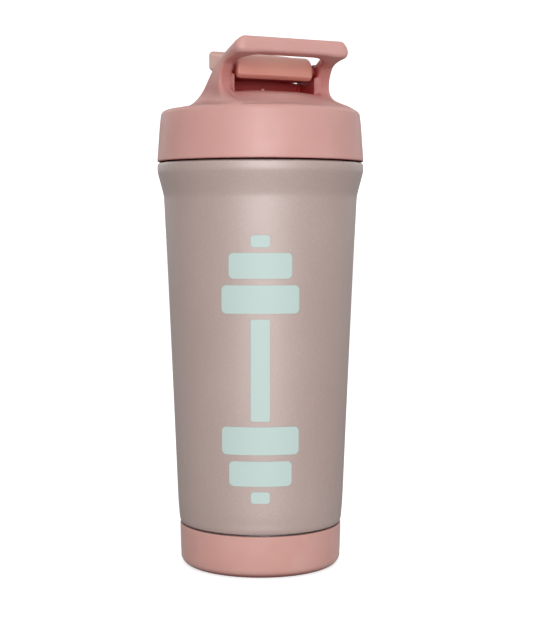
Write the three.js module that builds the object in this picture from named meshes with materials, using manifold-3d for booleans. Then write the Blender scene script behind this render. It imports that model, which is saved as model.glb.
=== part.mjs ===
// A protein shaker bottle: a double-walled steel bottle in a soft base boot, and a screw lid that carries
// a finger loop, a drinking spout, a hinged flip cap with its stopper, a sealing ring and a strainer.
//
// Millimetres, +Z up. The origin is on the bottle's axis at the plane that it stands on. The lid is screwed
// home with its carry loop towards -Y and its spout towards +Y, so the flip cap's hinge runs along X.
import * as THREE from "three";
import { mergeVertices } from "three/addons/utils/BufferGeometryUtils.js";
import Module from "manifold-3d";

const wasm = await Module();
wasm.setup();

// ---------------------------------------------------------------- driving dimensions

const ROUND = 40; // facets round the large turned pieces
const SMALL_ROUND = 20; // facets round the small ones
const FIT = 0.35; // clearance between pieces that seat or slide together

const body = {
  shoulder: 184.3, // height of the flat shoulder that the lid's skirt comes down to
  bandRadius: 47.0, // the band below the lid, the widest part of the bottle
  bandDepth: 10.7, // from the shoulder down to the crease under the band
  flareDepth: 28.3, // from the shoulder down to where the straight taper starts to flare
  flareIn: 3.5, // how far the flare's foot lies inside the band
  kneeIn: 9.0, // how far the knee lies inside the band; the wall tucks in below it
  kneeHeight: 29.0,
  tuckIn: 0.8,
  creaseIn: 1.65, // how far the crease under the band lies inside it
  footRim: 19.9, // height of the lower edge that shows above the boot
  wall: 0.55,
};
const neck = { inset: 5.5, height: 17.7 }; // inside the band's radius, and above the shoulder
const liner = { wall: 0.5, vacuumGap: 2.7, floor: 12.0, corner: 8.0 };
const foot = { bottom: 3.0, corner: 2.0 };
const baseDisc = { thickness: 0.7, rise: 1.4, dimple: 9.0, dimpleRise: 1.1, hole: 1.5 };
const seal = { radius: 5.0, thickness: 1.2 };
const getter = { radius: 6.0, thickness: 1.2 };
const boot = { wall: 1.85, floor: 2.4, seam: 0.75, corner: 4.6, bevel: 0.5, ringInner: 27.0, recess: 0.8 };

// Two-start thread: both starts rise by the lead in one turn of the lid. It begins above the shoulder.
const thread = { lead: 10.0, starts: 2, turn: 220, above: 6.2, height: 1.4, root: 2.3, crest: 1.3 };

const gasket = { thickness: 1.9, inBy: 3.3, outBy: 1.1 }; // edges inside and outside the neck's radius

// Heights in lid, loop, turret and cap are above the bottle's shoulder.
const lid = {
  seam: 0.5, // gap between the skirt and the bottle's shoulder
  proud: 0.05, // the skirt's foot stands out from the band by this
  draft: 1.55, // the skirt narrows by this up to its rim
  rimHeight: 20.7,
  rimFillet: 2.6,
  wall: 2.4,
  collarGap: 2.2, // between the strainer's collar and the liner
  collarWall: 2.0,
  collarDepth: 5.0, // the collar's reach below the bottle's lip
  plateau: 31.5, // the flat porch between the loop's legs
  plateauRadius: 20.0,
  midRadius: 32.7, // a point on the slope between the plateau and the rim
  midHeight: 25.9,
};
const loop = {
  halfWidth: 27.8,
  leg: 6.0, // thickness of each leg
  frontY: -34.6,
  barRearY: -24.5,
  top: 53.1,
  barBottom: 45.3,
  legFrontY: -15.2,
  toeY: -31.0, // where the legs' front fillets run out on the deck
  outerSkin: 2.4, // thickness of the outer layer of each leg, which has the lower rear edge
  innerBack: 2.4,
  bossWall: 1.5,
};
const turret = { frontY: -1.0, centreY: 3.0, radius: 20.5, top: 38.6, crown: 0.0045, rearDrop: 6.0 };
const spout = { y: 17.0, outer: 11.0, wall: 1.8 };
const cap = {
  hingeY: -9.5,
  hingeHeight: 41.3,
  barrel: 5.1, // half height of the hinge barrel
  barrelSide: 3.1, // gap between the barrel's ends and the legs
  pin: 2.1,
  pinInto: 2.3, // the pins' reach into the legs
  socketDepth: 2.7,
  past: 4.0, // length of the lever between the spout's centre and the centre of its round end
  rim: 3.5, // how far the round end reaches past the spout's wall
  tipTop: 53.3,
  tipThickness: 8.3,
  underside: 39.1, // height of the lever's underside behind the barrel
};
const stopper = {
  flangeOver: 1.0, // how far the flange reaches past the spout's wall
  flangeThickness: 2.2,
  plugGap: 0.5,
  taper: 1.4,
  length: 3.2,
  stud: 3.0,
  studHeight: 1.8,
};
const strainer = { wall: 1.6, height: 11.0, grid: 1.6, hole: 7.2, pitch: 9.2, aboveLip: 0.5 };
const rib = { width: 1.8, rearY: -4.4 }; // the ribs under the hinge pins, on the legs' inner faces

// ---------------------------------------------------------------- sizes that follow from those

const up = (height) => body.shoulder + height;
const flareFoot = up(-body.flareDepth);
const bandFoot = up(-body.bandDepth);
const kneeRadius = body.bandRadius - body.kneeIn;
const footRimRadius = kneeRadius - body.tuckIn;
const footRadius = footRimRadius - boot.wall - FIT; // the steel foot inside the boot
const neckRadius = body.bandRadius - neck.inset;
const lip = up(neck.height);
const linerNeckOut = neckRadius - body.wall - FIT;
const skirtFoot = up(lid.seam);
const skirtRadius = body.bandRadius + lid.proud;
const rimRadius = skirtRadius - lid.draft;
const threadClear = neckRadius + thread.height + FIT + 0.1; // inside radius of the skirt
const ceiling = lip + gasket.thickness + 2 * FIT; // underside of the lid above the neck
const collarOuter = linerNeckOut - liner.wall - lid.collarGap;
const collarInner = collarOuter - lid.collarWall;
const openHalf = loop.halfWidth - loop.leg; // half the distance between the loop's legs
const hingeZ = up(cap.hingeHeight);
const barrelHalf = openHalf - cap.barrelSide;
const endY = spout.y + cap.past;
const endRadius = spout.outer + cap.rim;
const bore = spout.outer - spout.wall;
const flange = spout.outer + stopper.flangeOver;

// ---------------------------------------------------------------- geometry helpers

// Points of an arc about (cx, cy) from angle a0 to a1 in degrees, both ends included.
function arc(cx, cy, r, a0, a1, steps) {
  return Array.from({ length: steps + 1 }, (_, i) => {
    const a = THREE.MathUtils.degToRad(a0 + ((a1 - a0) * i) / steps);
    return [cx + r * Math.cos(a), cy + r * Math.sin(a)];
  });
}

// A geometry's triangles as a manifold-3d solid, with shared corners merged.
function solid(geometry) {
  const bare = geometry.clone();
  bare.deleteAttribute("normal");
  bare.deleteAttribute("uv");
  const merged = mergeVertices(bare, 1e-4);
  return new wasm.Manifold(
    new wasm.Mesh({
      numProp: 3,
      vertProperties: new Float32Array(merged.attributes.position.array),
      triVerts: new Uint32Array(merged.index.array),
    }),
  );
}

// Twice the signed area of a closed outline.
function turning(points) {
  return points.reduce((sum, [x, y], i) => {
    const [nx, ny] = points[(i + 1) % points.length];
    return sum + x * ny - nx * y;
  }, 0);
}

// A solid of revolution about Z from an outline of [radius, height] points.
function turned(outline, facets = ROUND) {
  const ordered = turning(outline) > 0 ? outline : [...outline].reverse();
  const closed = [...ordered, ordered[0]].map(([r, z]) => new THREE.Vector2(r, z));
  return solid(new THREE.LatheGeometry(closed, facets).rotateX(Math.PI / 2));
}

function shapeOf(outline) {
  return new THREE.Shape(outline.map(([x, y]) => new THREE.Vector2(x, y)));
}

// A plan outline of [x, y] points, extruded from height z0 to z1.
function raised(outline, z0, z1) {
  const made = new THREE.ExtrudeGeometry(shapeOf(outline), { depth: z1 - z0, bevelEnabled: false });
  return solid(made.translate(0, 0, z0));
}

// A side outline of [y, z] points, extruded along X from -half to half.
function across(outline, half) {
  const made = new THREE.ExtrudeGeometry(shapeOf(outline), { depth: 2 * half, bevelEnabled: false });
  const toSide = new THREE.Matrix4().makeBasis(
    new THREE.Vector3(0, 1, 0),
    new THREE.Vector3(0, 0, 1),
    new THREE.Vector3(1, 0, 0),
  );
  return solid(made.applyMatrix4(toSide).translate(-half, 0, 0));
}

// A rod along X, centred on (y, z), from x0 to x1.
function rodAlongX(radius, y, z, x0, x1) {
  const made = new THREE.CylinderGeometry(radius, radius, x1 - x0, SMALL_ROUND).rotateZ(Math.PI / 2);
  return solid(made.translate((x0 + x1) / 2, y, z));
}

function block(x0, x1, y0, y1, z0, z1) {
  const made = new THREE.BoxGeometry(x1 - x0, y1 - y0, z1 - z0);
  return solid(made.translate((x0 + x1) / 2, (y0 + y1) / 2, (z0 + z1) / 2));
}

// One thread ridge wound on a wall. It stands on wallRadius and reaches crestRadius, with its middle at
// height z0 where it starts, at angle from0 in degrees, and rises right-handed by the lead in a turn.
function ridge(wallRadius, crestRadius, z0, from0) {
  const inwards = crestRadius < wallRadius;
  const sunk = wallRadius + (inwards ? 0.4 : -0.4);
  const half = [thread.root / 2, thread.crest / 2];
  const section = [
    [sunk, -half[0]],
    [crestRadius, -half[1]],
    [crestRadius, half[1]],
    [sunk, half[0]],
  ];
  if (inwards) section.reverse();
  const steps = Math.round(thread.turn / (360 / ROUND));
  const corners = [];
  for (let i = 0; i <= steps; i++) {
    const share = i / steps;
    const angle = THREE.MathUtils.degToRad(from0 + thread.turn * share);
    const rise = (thread.lead * thread.turn * share) / 360;
    for (const [r, dz] of section) {
      corners.push(r * Math.cos(angle), r * Math.sin(angle), z0 + rise + dz);
    }
  }
  const faces = [];
  for (let i = 0; i < steps; i++) {
    for (let k = 0; k < 4; k++) {
      const [a, b] = [4 * i + k, 4 * i + ((k + 1) % 4)];
      faces.push(a, a + 4, b, b, a + 4, b + 4);
    }
  }
  const last = 4 * steps;
  faces.push(0, 1, 2, 0, 2, 3, last, last + 2, last + 1, last, last + 3, last + 2);
  const made = new THREE.BufferGeometry();
  made.setAttribute("position", new THREE.Float32BufferAttribute(corners, 3));
  made.setIndex(faces);
  const wound = solid(made);
  if (wound.volume() > 0) return wound;
  made.setIndex(faces.reverse());
  return solid(made);
}

// The same ridge once for each start of the thread.
function ridges(wallRadius, crestRadius, z0) {
  const starts = Array.from({ length: thread.starts }, (_, i) => (360 * i) / thread.starts);
  return starts.map((from) => ridge(wallRadius, crestRadius, z0, from)).reduce((all, one) => all.add(one));
}

const meshes = [];

// Adds a named mesh made from a manifold-3d solid.
function add(name, made, material) {
  const { vertProperties, triVerts } = made.getMesh();
  const geometry = new THREE.BufferGeometry();
  geometry.setAttribute("position", new THREE.BufferAttribute(new Float32Array(vertProperties), 3));
  geometry.setIndex(new THREE.BufferAttribute(new Uint32Array(triVerts), 1));
  geometry.computeVertexNormals();
  const mesh = new THREE.Mesh(geometry, material);
  mesh.name = name;
  meshes.push(mesh);
}

// ---------------------------------------------------------------- materials

const finish = {
  coat: new THREE.MeshStandardMaterial({ color: 0xcbb0a8, roughness: 0.55, metalness: 0.0 }),
  steel: new THREE.MeshStandardMaterial({ color: 0xb9bbbd, roughness: 0.3, metalness: 1.0 }),
  lidPlastic: new THREE.MeshStandardMaterial({ color: 0xe3aca6, roughness: 0.45, metalness: 0.0 }),
  bootRubber: new THREE.MeshStandardMaterial({ color: 0xdba79f, roughness: 0.6, metalness: 0.0 }),
  silicone: new THREE.MeshStandardMaterial({ color: 0xe9e4df, roughness: 0.6, metalness: 0.0 }),
  strainerPlastic: new THREE.MeshStandardMaterial({ color: 0xe6b2ac, roughness: 0.5, metalness: 0.0 }),
  solder: new THREE.MeshStandardMaterial({ color: 0x8c8f92, roughness: 0.5, metalness: 0.6 }),
};

// ---------------------------------------------------------------- the bottle

// Outer radius of the bottle's painted wall at a height, between the foot rim and the band's crease.
function wallRadius(z) {
  if (z < body.kneeHeight) {
    const share = (z - body.footRim) / (body.kneeHeight - body.footRim);
    return footRimRadius + (kneeRadius - footRimRadius) * share;
  }
  const share = (z - body.kneeHeight) / (flareFoot - body.kneeHeight);
  const straight = kneeRadius + (body.kneeIn - body.flareIn) * share;
  const flare = Math.max(0, z - flareFoot) / (bandFoot - flareFoot);
  return straight + (body.bandRadius - body.creaseIn - straight) * flare ** 2;
}

const bandTop = up(-1.0);

// The steel outer wall: stepped foot, tapered body, band, shoulder and threaded neck.
function outerShell() {
  const flareStep = (bandFoot - flareFoot) / 3;
  const straight = [body.footRim, body.kneeHeight, flareFoot];
  const side = [...straight, flareFoot + flareStep, bandFoot - flareStep, bandFoot];
  const outside = [
    [footRadius - foot.corner - 1.6, foot.bottom],
    ...arc(footRadius - foot.corner, foot.bottom + foot.corner, foot.corner, -90, 0, 3),
    [footRadius, body.footRim - 0.3],
    ...side.map((z) => [wallRadius(z), z]),
    [body.bandRadius - 0.25, bandFoot + 4.6],
    [body.bandRadius, bandFoot + 7.0],
    [body.bandRadius, bandTop],
    [body.bandRadius - 0.9, body.shoulder],
    [neckRadius + 0.8, body.shoulder],
    [neckRadius, up(0.9)],
    [neckRadius, lip - liner.wall - FIT],
  ];
  const inside = outside.map(([r, z], i) => {
    if (i === 0) return [r, z + body.wall];
    if (z >= bandTop && r > neckRadius) return [r - body.wall, z - body.wall];
    return [r - body.wall, i < 3 ? z + body.wall : z];
  });
  inside[inside.length - 1] = [neckRadius - body.wall, lip - liner.wall - FIT];
  const shell = turned([...outside, ...inside.reverse()]);
  return shell.add(ridges(neckRadius, neckRadius + thread.height, up(thread.above)));
}

// The steel liner: a tapered cup whose lip folds over the outer wall's top edge.
function innerLiner() {
  const out = (z) => Math.min(linerNeckOut, wallRadius(z) - body.wall - liner.vacuumGap);
  const low = liner.floor + liner.corner;
  const cornerAt = out(low + 4) - liner.corner;
  const heights = [low + 4, flareFoot - 2];
  const outside = [
    [0, liner.floor],
    ...arc(cornerAt, low, liner.corner, -90, 0, 4),
    ...heights.map((z) => [out(z), z]),
    [linerNeckOut, flareFoot + 12],
    [linerNeckOut, lip - liner.wall],
    [neckRadius, lip - liner.wall],
    [neckRadius, lip],
  ];
  const inside = [
    [0, liner.floor + liner.wall],
    ...arc(cornerAt, low, liner.corner - liner.wall, -90, 0, 4),
    ...heights.map((z) => [out(z) - liner.wall, z]),
    [linerNeckOut - liner.wall, flareFoot + 12],
    [linerNeckOut - liner.wall, lip],
  ];
  return turned([...outside, ...inside.reverse()]);
}

const discRadius = footRadius - body.wall - FIT;

// The pressed disc that closes the outer wall's foot, with a hole in its dimple to draw the vacuum through.
function bottomDisc() {
  const rim = foot.bottom + body.wall + FIT;
  const flat = rim + baseDisc.rise;
  const under = [
    [baseDisc.hole, flat + baseDisc.dimpleRise],
    [baseDisc.dimple - 1.5, flat + baseDisc.dimpleRise],
    [baseDisc.dimple, flat],
    [discRadius - 3.2, flat],
    [discRadius - 2.4, rim],
    [discRadius - 1.4, rim],
  ];
  const over = [
    [discRadius, rim + 1.6],
    [discRadius, rim + 2.6],
    [discRadius - baseDisc.thickness, rim + 2.6],
    [discRadius - baseDisc.thickness, rim + 1.9],
    [discRadius - 1.7, rim + baseDisc.thickness],
    [discRadius - 2.2, rim + baseDisc.thickness],
    [discRadius - 3.0, flat + baseDisc.thickness],
    [baseDisc.dimple + 0.2, flat + baseDisc.thickness],
    [baseDisc.dimple - 1.2, flat + baseDisc.dimpleRise + baseDisc.thickness],
    [baseDisc.hole, flat + baseDisc.dimpleRise + baseDisc.thickness],
  ];
  return turned([...under, ...over]);
}

// The bead of solder that closes the hole in the base disc, a low dome in its dimple.
function vacuumSeal() {
  const top = foot.bottom + body.wall + FIT + baseDisc.rise + baseDisc.dimpleRise - FIT;
  return turned(
    [
      [0, top],
      [seal.radius, top],
      [seal.radius - 0.6, top - seal.thickness * 0.6],
      [seal.radius - 2.2, top - seal.thickness],
      [0, top - seal.thickness],
    ],
    SMALL_ROUND,
  );
}

// The getter pill on the underside of the liner, in the vacuum space.
function getterPill() {
  const top = liner.floor - FIT;
  return turned(
    [
      [0, top - getter.thickness],
      [getter.radius, top - getter.thickness],
      [getter.radius, top],
      [0, top],
    ],
    SMALL_ROUND,
  );
}

// The soft boot over the foot. It stands on a flat ring and its top edge lies flush with the wall above.
function baseBoot() {
  const top = body.footRim - boot.seam;
  const bottomRadius = footRimRadius - 0.35;
  const inner = footRadius + FIT;
  return turned([
    [0, boot.recess],
    [boot.ringInner - 0.8, boot.recess],
    [boot.ringInner, 0],
    ...arc(bottomRadius - boot.corner, boot.corner, boot.corner, -90, 0, 4),
    [footRimRadius, top - boot.bevel],
    [footRimRadius - boot.bevel, top],
    [inner, top],
    [inner, boot.floor + foot.corner],
    [inner - foot.corner, boot.floor],
    [0, boot.floor],
  ]);
}

// ---------------------------------------------------------------- the lid

// The turned part of the lid: skirt, rim, sloping deck, porch, ceiling and the strainer's collar.
function lidShell() {
  const porchTop = up(lid.plateau);
  const slopeTop = up(lid.midHeight);
  const collarFoot = lip - lid.collarDepth;
  const outside = [
    [skirtRadius - 0.5, skirtFoot],
    [skirtRadius, skirtFoot + 0.5],
    [rimRadius, up(lid.rimHeight)],
    ...arc(rimRadius - lid.rimFillet, up(lid.rimHeight) + 0.3, lid.rimFillet, 15, 75, 3),
    [lid.midRadius, slopeTop],
    [lid.plateauRadius + 5, porchTop - 2.6],
    [lid.plateauRadius, porchTop],
    [0, porchTop],
  ];
  const inside = [
    [0, porchTop - lid.wall],
    [lid.plateauRadius - 2, porchTop - lid.wall],
    [lid.plateauRadius + 3, porchTop - lid.wall - 3.2],
    [lid.midRadius - 1, slopeTop - lid.wall],
    [collarInner, slopeTop - lid.wall - 1],
    [collarInner, collarFoot],
    [collarOuter, collarFoot],
    [collarOuter, ceiling],
    [threadClear, ceiling],
    [threadClear, skirtFoot + 1.2],
    [threadClear + 0.8, skirtFoot],
  ];
  return turned([...outside, ...inside]);
}

// Side outline of the loop's legs and bar, with the rear edge of the legs moved back by rearBy.
function loopOutline(rearBy) {
  const [top, bar, deck, porchTop] = [loop.top, loop.barBottom, lid.midHeight, lid.plateau].map(up);
  const side = new THREE.Shape();
  side.moveTo(loop.toeY - 1, deck - 3.5);
  side.lineTo(14, deck - 3.5);
  side.lineTo(12.5 + rearBy / 2, deck);
  side.quadraticCurveTo(2 + rearBy, porchTop + 3, -6 + rearBy, top - 11.8);
  side.quadraticCurveTo(-16 + rearBy, top - 3.6, loop.frontY + 6, top - 0.4);
  side.lineTo(loop.frontY + 1.2, top);
  side.lineTo(loop.frontY, top - 1.4);
  side.lineTo(loop.frontY, bar + 2);
  side.lineTo(loop.frontY + 1.4, bar + 0.8);
  side.quadraticCurveTo(-22, bar - 0.4, -18, bar - 3);
  side.quadraticCurveTo(loop.legFrontY, bar - 7, loop.legFrontY, bar - 11);
  side.quadraticCurveTo(loop.legFrontY, porchTop - 1, -21, porchTop - 3.6);
  side.lineTo(loop.toeY, deck - 1.9);
  return side.getPoints(4).map((p) => [p.x, p.y]);
}

// The carry loop: two legs that sweep up and forward from the deck, joined by a cross bar. The inner half of
// each leg's thickness stands further back, and carries a boss round the flip cap's hinge pin.
function carryLoop() {
  const bossHalf = loop.halfWidth - loop.outerSkin;
  const legs = across(loopOutline(0), loop.halfWidth)
    .add(across(loopOutline(loop.innerBack), bossHalf))
    .add(rodAlongX(cap.pin + loop.bossWall, cap.hingeY, hingeZ, -bossHalf, bossHalf));
  const [top, bar] = [up(loop.top), up(loop.barBottom)];
  const opening = across(
    [
      [loop.barRearY, top + 10],
      [40, top + 10],
      [40, body.shoulder],
      [-60, body.shoulder],
      [-60, bar + 0.8],
      [loop.frontY + 1.4, bar + 0.8],
      [loop.barRearY - 4, bar],
      [loop.barRearY, bar + 0.6],
    ],
    openHalf,
  );
  return legs.subtract(opening);
}

// The porch between the legs, flat up to the front edge of the finger opening.
function porch() {
  const [deck, top] = [up(lid.midHeight), up(lid.plateau)];
  return across(
    [
      [loop.toeY - 1, deck - 2],
      [-24, top - 3],
      [-17, top],
      [2, top],
      [2, deck - 2],
    ],
    openHalf + 1,
  );
}

// The turret between the legs: flat towards the hinge, round behind, crowned and falling towards the spout.
function turretBlock(inset, topDrop, foot) {
  const r = turret.radius - inset;
  const front = turret.frontY + inset;
  const outline = [[r, front], ...arc(0, turret.centreY, r, 0, 180, 14), [-r, front]];
  const plan = raised(outline, foot, up(60));
  const top = up(turret.top) - topDrop;
  const crown = arc(0, top - 1 / (2 * turret.crown), 1 / (2 * turret.crown), 90 - 14, 90 + 14, 10);
  const clear = turret.radius + 6.0;
  const arch = shapeOf([...crown, [-clear, body.shoulder], [clear, body.shoulder]]);
  const arched = new THREE.ExtrudeGeometry(arch, {
    depth: 70,
    bevelEnabled: false,
  }).rotateX(Math.PI / 2);
  const side = across(
    [
      [-30, body.shoulder],
      [35, body.shoulder],
      [35, top - turret.rearDrop - 1],
      [24, top - turret.rearDrop],
      [8, top - 1.2],
      [0, top + 0.2],
      [-30, top + 1],
    ],
    40,
  );
  return plan.intersect(solid(arched.translate(0, 40, 0))).intersect(side);
}

// The underside of the flip cap's lever, as a line in Y and Z.
const underRun = endY + endRadius - 2 - (cap.hingeY + cap.barrel);
const underRise = cap.tipTop - cap.tipThickness - cap.underside;
const underTilt = Math.atan2(underRise, underRun);
const underAtSpout = up(cap.underside) + Math.tan(underTilt) * (spout.y - cap.hingeY - cap.barrel);

// Turns a piece made about the spout's mouth, with its mouth at z 0, onto the sloping rim.
function ontoRim(made) {
  return made.rotate([THREE.MathUtils.radToDeg(underTilt), 0, 0]).translate([0, spout.y, underAtSpout]);
}

// Everything above the spout's sloping rim.
function aboveRim(gap) {
  return ontoRim(block(-30, 30, -30, 40, -gap, 40));
}

function lidBody() {
  const deck = up(lid.midHeight);
  const tube = turned(
    [
      [0, deck - 4],
      [spout.outer, deck - 4],
      [spout.outer, deck + 30],
      [0, deck + 30],
    ],
    SMALL_ROUND,
  ).translate([0, spout.y, 0]);
  const passage = turned(
    [
      [0, deck - 8],
      [bore, deck - 8],
      [bore, deck + 32],
      [0, deck + 32],
    ],
    SMALL_ROUND,
  ).translate([0, spout.y, 0]);
  const ribs = [-1, 1].map((side) => {
    const x = [side * (openHalf - rib.width), side * (openHalf + 1)].sort((a, b) => a - b);
    return block(x[0], x[1], loop.legFrontY + 0.6, rib.rearY, up(lid.plateau) - 1, hingeZ - cap.pin - 0.7);
  });
  const sockets = [-1, 1].map((side) => {
    const x = [side * (openHalf - 4), side * (openHalf + cap.socketDepth)].sort((a, b) => a - b);
    return rodAlongX(cap.pin + 0.25, cap.hingeY, hingeZ, x[0], x[1]);
  });
  const hollow = turretBlock(lid.wall, lid.wall, deck - 8).subtract(tube);
  const threadFoot = up(thread.above) - thread.lead / thread.starts / 2;
  const solidTop = lidShell()
    .add(porch())
    .add(carryLoop().subtract(lidCavity()))
    .add(turretBlock(0, 0, up(lid.plateau) - lid.wall))
    .add(tube.subtract(aboveRim(FIT)))
    .add(ribs[0])
    .add(ribs[1]);
  return solidTop
    .subtract(hollow)
    .subtract(passage)
    .subtract(sockets[0])
    .subtract(sockets[1])
    .add(ridges(threadClear, neckRadius + FIT, threadFoot));
}

// The space under the deck that the loop's feet must not run down into.
function lidCavity() {
  return turned([
    [0, body.shoulder],
    [threadClear + 1, body.shoulder],
    [threadClear + 1, ceiling - 0.01],
    [lid.midRadius, up(lid.midHeight) - lid.wall],
    [0, up(lid.midHeight) - lid.wall],
  ]);
}

// ---------------------------------------------------------------- the flip cap

// The lever and its hinge barrel, with a round seat for the stopper underneath.
function flipCap() {
  const { hingeY: y, barrel: r } = cap;
  const z = hingeZ;
  const tipY = endY + endRadius;
  const tipTop = up(cap.tipTop);
  const tipFloor = tipTop - cap.tipThickness;
  const side = across(
    [
      [y - r, z - r + 0.6],
      ...arc(y, z, r, 180, 90, 5),
      [tipY - 3, tipTop],
      [tipY - 0.8, tipTop - 0.9],
      [tipY, tipTop - 3],
      [tipY, tipFloor + 2.2],
      [tipY - 2, tipFloor],
      [y + r, up(cap.underside)],
      [y + r, z - r],
      [y - r + 0.6, z - r],
    ],
    barrelHalf,
  );
  const waist = endRadius + 1.2;
  const plan = raised(
    [
      [-barrelHalf, y - r - 1],
      [barrelHalf, y - r - 1],
      [barrelHalf, y + r + 1],
      [waist, y + r + 9],
      ...arc(0, endY, endRadius, 0, 180, 16),
      [-waist, y + r + 9],
      [-barrelHalf, y + r + 1],
    ],
    z - 20,
    z + 20,
  );
  const seat = ontoRim(
    turned(
      [
        [0, -1],
        [flange + FIT, -1],
        [flange + FIT, stopper.flangeThickness + FIT],
        [stopper.stud + FIT, stopper.flangeThickness + FIT],
        [stopper.stud + FIT, stopper.flangeThickness + stopper.studHeight + FIT],
        [0, stopper.flangeThickness + stopper.studHeight + FIT],
      ],
      SMALL_ROUND,
    ),
  );
  return side
    .intersect(plan)
    .add(rodAlongX(cap.pin, y, z, -openHalf - cap.pinInto, openHalf + cap.pinInto))
    .subtract(seat);
}

// The soft stopper: a flange pressed on the spout's rim, a tapered plug below it and a stud above.
function spoutStopper() {
  const plug = bore - stopper.plugGap;
  return ontoRim(
    turned(
      [
        [0, -stopper.length],
        [plug - stopper.taper - 1, -stopper.length],
        [plug - stopper.taper, -stopper.length + 0.8],
        [plug, -0.2],
        [flange, 0],
        [flange, stopper.flangeThickness],
        [stopper.stud, stopper.flangeThickness],
        [stopper.stud, stopper.flangeThickness + stopper.studHeight],
        [0, stopper.flangeThickness + stopper.studHeight],
      ],
      SMALL_ROUND,
    ),
  );
}

// ---------------------------------------------------------------- sealing ring and strainer

function sealingRing() {
  const foot = lip + FIT;
  const [inner, outer] = [neckRadius - gasket.inBy, neckRadius + gasket.outBy];
  return turned([
    [inner, foot],
    [outer, foot],
    [outer, foot + gasket.thickness],
    [inner, foot + gasket.thickness],
  ]);
}

// The strainer: a shallow basket with a square grid floor that clips up inside the lid's collar.
function strainerBasket() {
  const outer = collarInner - FIT;
  const top = lip + strainer.aboveLip;
  const foot = top - strainer.height;
  const basket = turned([
    [0, foot],
    [outer - 1, foot],
    [outer, foot + 1],
    [outer, top],
    [outer - strainer.wall, top],
    [outer - strainer.wall, foot + strainer.grid],
    [0, foot + strainer.grid],
  ]);
  const reach = outer - strainer.wall - 1.5;
  const half = strainer.hole / 2;
  const rows = Math.floor(reach / strainer.pitch);
  let floor = basket;
  for (let i = -rows; i <= rows; i++) {
    for (let j = -rows; j <= rows; j++) {
      const [x, y] = [i * strainer.pitch, j * strainer.pitch];
      if (Math.hypot(Math.abs(x) + half, Math.abs(y) + half) > reach) continue;
      const hole = block(x - half, x + half, y - half, y + half, foot - 1, foot + strainer.grid + 1);
      floor = floor.subtract(hole);
    }
  }
  return floor;
}

// ---------------------------------------------------------------- assembly

add("outer_shell", outerShell(), finish.coat);
add("inner_liner", innerLiner(), finish.steel);
add("base_disc", bottomDisc(), finish.steel);
add("vacuum_seal", vacuumSeal(), finish.solder);
add("getter", getterPill(), finish.solder);
add("base_boot", baseBoot(), finish.bootRubber);
add("sealing_ring", sealingRing(), finish.silicone);
add("lid_body", lidBody(), finish.lidPlastic);
add("strainer", strainerBasket(), finish.strainerPlastic);
add("flip_cap", flipCap(), finish.lidPlastic);
add("spout_stopper", spoutStopper(), finish.silicone);

const shaker = new THREE.Group();
shaker.name = "protein_shaker";
shaker.add(...meshes);

export default shaker;
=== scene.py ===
"""The looks of a protein shaker bottle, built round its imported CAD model.

A double-walled steel bottle in a soft base boot carries a moulded screw lid with a finger loop, a drinking
spout, a hinged flip cap and its stopper, a sealing ring and a clip-in strainer. Each sub-assembly is a class
that holds its sizes, builds its meshes and dresses them. Lengths are millimetres until a mesh is made.
"""

import sys
import logging
import math
from dataclasses import dataclass, field
from enum import Enum
from typing import Callable, Iterable, Sequence

import bmesh
import bpy
import numpy as np
from mathutils import Matrix, Vector


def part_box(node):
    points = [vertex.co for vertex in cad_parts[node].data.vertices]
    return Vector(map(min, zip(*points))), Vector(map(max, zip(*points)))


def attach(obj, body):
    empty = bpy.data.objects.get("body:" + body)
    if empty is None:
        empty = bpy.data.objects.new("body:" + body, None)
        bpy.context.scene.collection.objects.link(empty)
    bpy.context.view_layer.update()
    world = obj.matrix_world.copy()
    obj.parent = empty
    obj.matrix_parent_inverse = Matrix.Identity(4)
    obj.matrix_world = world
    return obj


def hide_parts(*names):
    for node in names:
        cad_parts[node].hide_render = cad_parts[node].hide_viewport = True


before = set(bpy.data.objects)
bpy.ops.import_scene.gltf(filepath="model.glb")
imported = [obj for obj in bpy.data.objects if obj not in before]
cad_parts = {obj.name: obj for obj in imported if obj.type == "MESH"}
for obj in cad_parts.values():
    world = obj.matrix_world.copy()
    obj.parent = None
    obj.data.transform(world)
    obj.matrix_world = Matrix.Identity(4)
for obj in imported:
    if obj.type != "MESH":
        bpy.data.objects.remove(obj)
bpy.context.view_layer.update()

log = logging.getLogger("shaker")

MM = 0.001
ROUND = 192  # segments round the large turned pieces
SMALL_ROUND = 96  # segments round the small ones

Array = np.ndarray
Outline = list[tuple[float, float]]
Field = Callable[[Array, Array, Array], Array]


def lowest(node: str) -> float:
    """Height of a CAD node's lowest point in millimetres."""
    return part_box(node)[0].z / MM


def highest(node: str) -> float:
    """Height of a CAD node's highest point in millimetres."""
    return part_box(node)[1].z / MM


SEAM = 0.5  # gap between the lid's skirt and the bottle's shoulder
SHOULDER = lowest("lid_body") - SEAM


# ---------------------------------------------------------------- colours and finishes


def tone(red: int, green: int, blue: int) -> tuple[float, float, float, float]:
    """A display colour out of 255 as linear light.

    Args:
        red: Red from 0 to 255.
        green: Green from 0 to 255.
        blue: Blue from 0 to 255.

    Returns:
        Linear red, green, blue and an alpha of 1.
    """

    def linear(value: int) -> float:
        """One channel as linear light."""
        share = value / 255
        return share / 12.92 if share <= 0.04045 else ((share + 0.055) / 1.055) ** 2.4

    return (linear(red), linear(green), linear(blue), 1.0)


class Grain(Enum):
    """How fine a surface's texture is, as noise waves per metre."""

    POWDER = 2600.0
    SPARK = 1500.0
    SILK = 5200.0


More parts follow.
